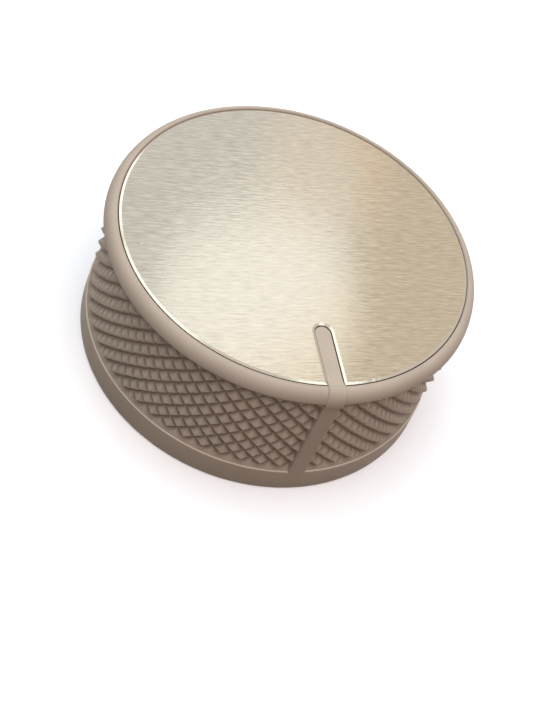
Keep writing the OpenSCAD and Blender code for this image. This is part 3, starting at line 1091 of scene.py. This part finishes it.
def add_floor(stage):
    half = stage.floor_size / 2
    corners = [(-half, -half), (half, -half), (half, half), (-half, half)]
    floor = new_object("floor", [(x, y, -stage.floor_drop) for x, y in corners], [(0, 1, 2, 3)])
    floor.data.materials.append(pale_floor(stage))


def add_world(stage):
    """White where it is seen or mirrored, and elsewhere a soft light that grows towards the zenith."""
    world = bpy.data.worlds.new("studio")
    world.use_nodes = True
    bpy.context.scene.world = world
    desk = NodeDesk(world.node_tree)
    sky = world.node_tree.nodes["Background"]
    spot = desk.add("ShaderNodeSeparateXYZ")
    desk.wire(desk.add("ShaderNodeTexCoord").outputs["Generated"], spot.inputs[0])
    height = desk.math("MAXIMUM", spot.outputs["Z"], 0.0)
    above = opaque(stage.zenith, stage.zenith_level)
    soft = desk.mixed(desk.math("POWER", height, stage.zenith_focus), opaque(stage.horizon), above)
    desk.wire(desk.mixed(shown_rays(desk), soft, (1.0, 1.0, 1.0, 1.0)), sky.inputs["Color"])


def add_panel_light(name, lights):
    """Round panel that faces the knob. Its glow is the brightness of its face, where 1 is white."""
    at, size, tint, glow = (getattr(lights, f"{name}_{key}") for key in ("at", "size", "tint", "glow"))
    lamp = bpy.data.lights.new(f"{name}_light", "AREA")
    lamp.shape = "DISK"
    lamp.size = size
    lamp.color = tint
    lamp.energy = glow * math.pi * size ** 2
    obj = in_scene(lamp.name, lamp)
    obj.visible_glossy = name not in UNMIRRORED
    aim(obj, Vector(at), Vector((0.0, 0.0, BODY_TOP.z / 2)))


def aim(obj, at, target, roll=0.0):
    obj.location = at
    turn = (target - at).to_track_quat("-Z", "Y")
    obj.rotation_euler = (turn @ Quaternion((0.0, 0.0, 1.0), roll)).to_euler()


def add_camera(stage):
    camera = bpy.data.cameras.new("camera")
    camera.lens = stage.camera_lens
    camera.clip_start = 5 * MM
    obj = in_scene("camera", camera)
    aim(obj, Vector(stage.camera_at), Vector(stage.camera_aim), stage.camera_roll)
    bpy.context.scene.camera = obj


class KNOB_PT_panel(bpy.types.Panel):
    """Sizes, colours and pieces of the selector knob"""
    bl_label = "Selector knob"
    bl_idname = "KNOB_PT_panel"
    bl_space_type = "VIEW_3D"
    bl_region_type = "UI"
    bl_category = "Knob"

    def draw(self, context):
        layout = self.layout
        for group_name, group in GROUPS.items():
            box = layout.box()
            box.label(text=group.__doc__)
            for name in group.__annotations__:
                box.prop(getattr(context.scene, group_name), name)
        for operator in OPERATORS:
            layout.operator(operator.bl_idname)


GROUPS = {
    "knob_body": KnobBodySizes,
    "knob_knurl": KnurlSizes,
    "knob_pointer": PointerSizes,
    "knob_disc": FaceDiscSizes,
    "knob_socket": ShaftSocketSizes,
    "knob_clip": SpringClipSizes,
    "knob_finish": KnobFinish,
    "knob_stage": KnobStage,
    "knob_lights": KnobLights,
}
OPERATORS = (KNOB_OT_stage, KNOB_OT_body, KNOB_OT_face_disc, KNOB_OT_film, KNOB_OT_spring_clip)


def register():
    for name, group in GROUPS.items():
        bpy.utils.register_class(group)
        setattr(bpy.types.Scene, name, PointerProperty(type=group))
    for operator in OPERATORS:
        bpy.utils.register_class(operator)
    bpy.utils.register_class(KNOB_PT_panel)


def unregister():
    bpy.utils.unregister_class(KNOB_PT_panel)
    for operator in reversed(OPERATORS):
        bpy.utils.unregister_class(operator)
    for name, group in reversed(GROUPS.items()):
        delattr(bpy.types.Scene, name)
        bpy.utils.unregister_class(group)


def main():
    register()
    bpy.ops.knob.make_stage()
    bpy.ops.knob.make_body()
    bpy.ops.knob.make_face_disc()
    bpy.ops.knob.dress_film()
    bpy.ops.knob.make_spring_clip()


if __name__ == "__main__":
    main()
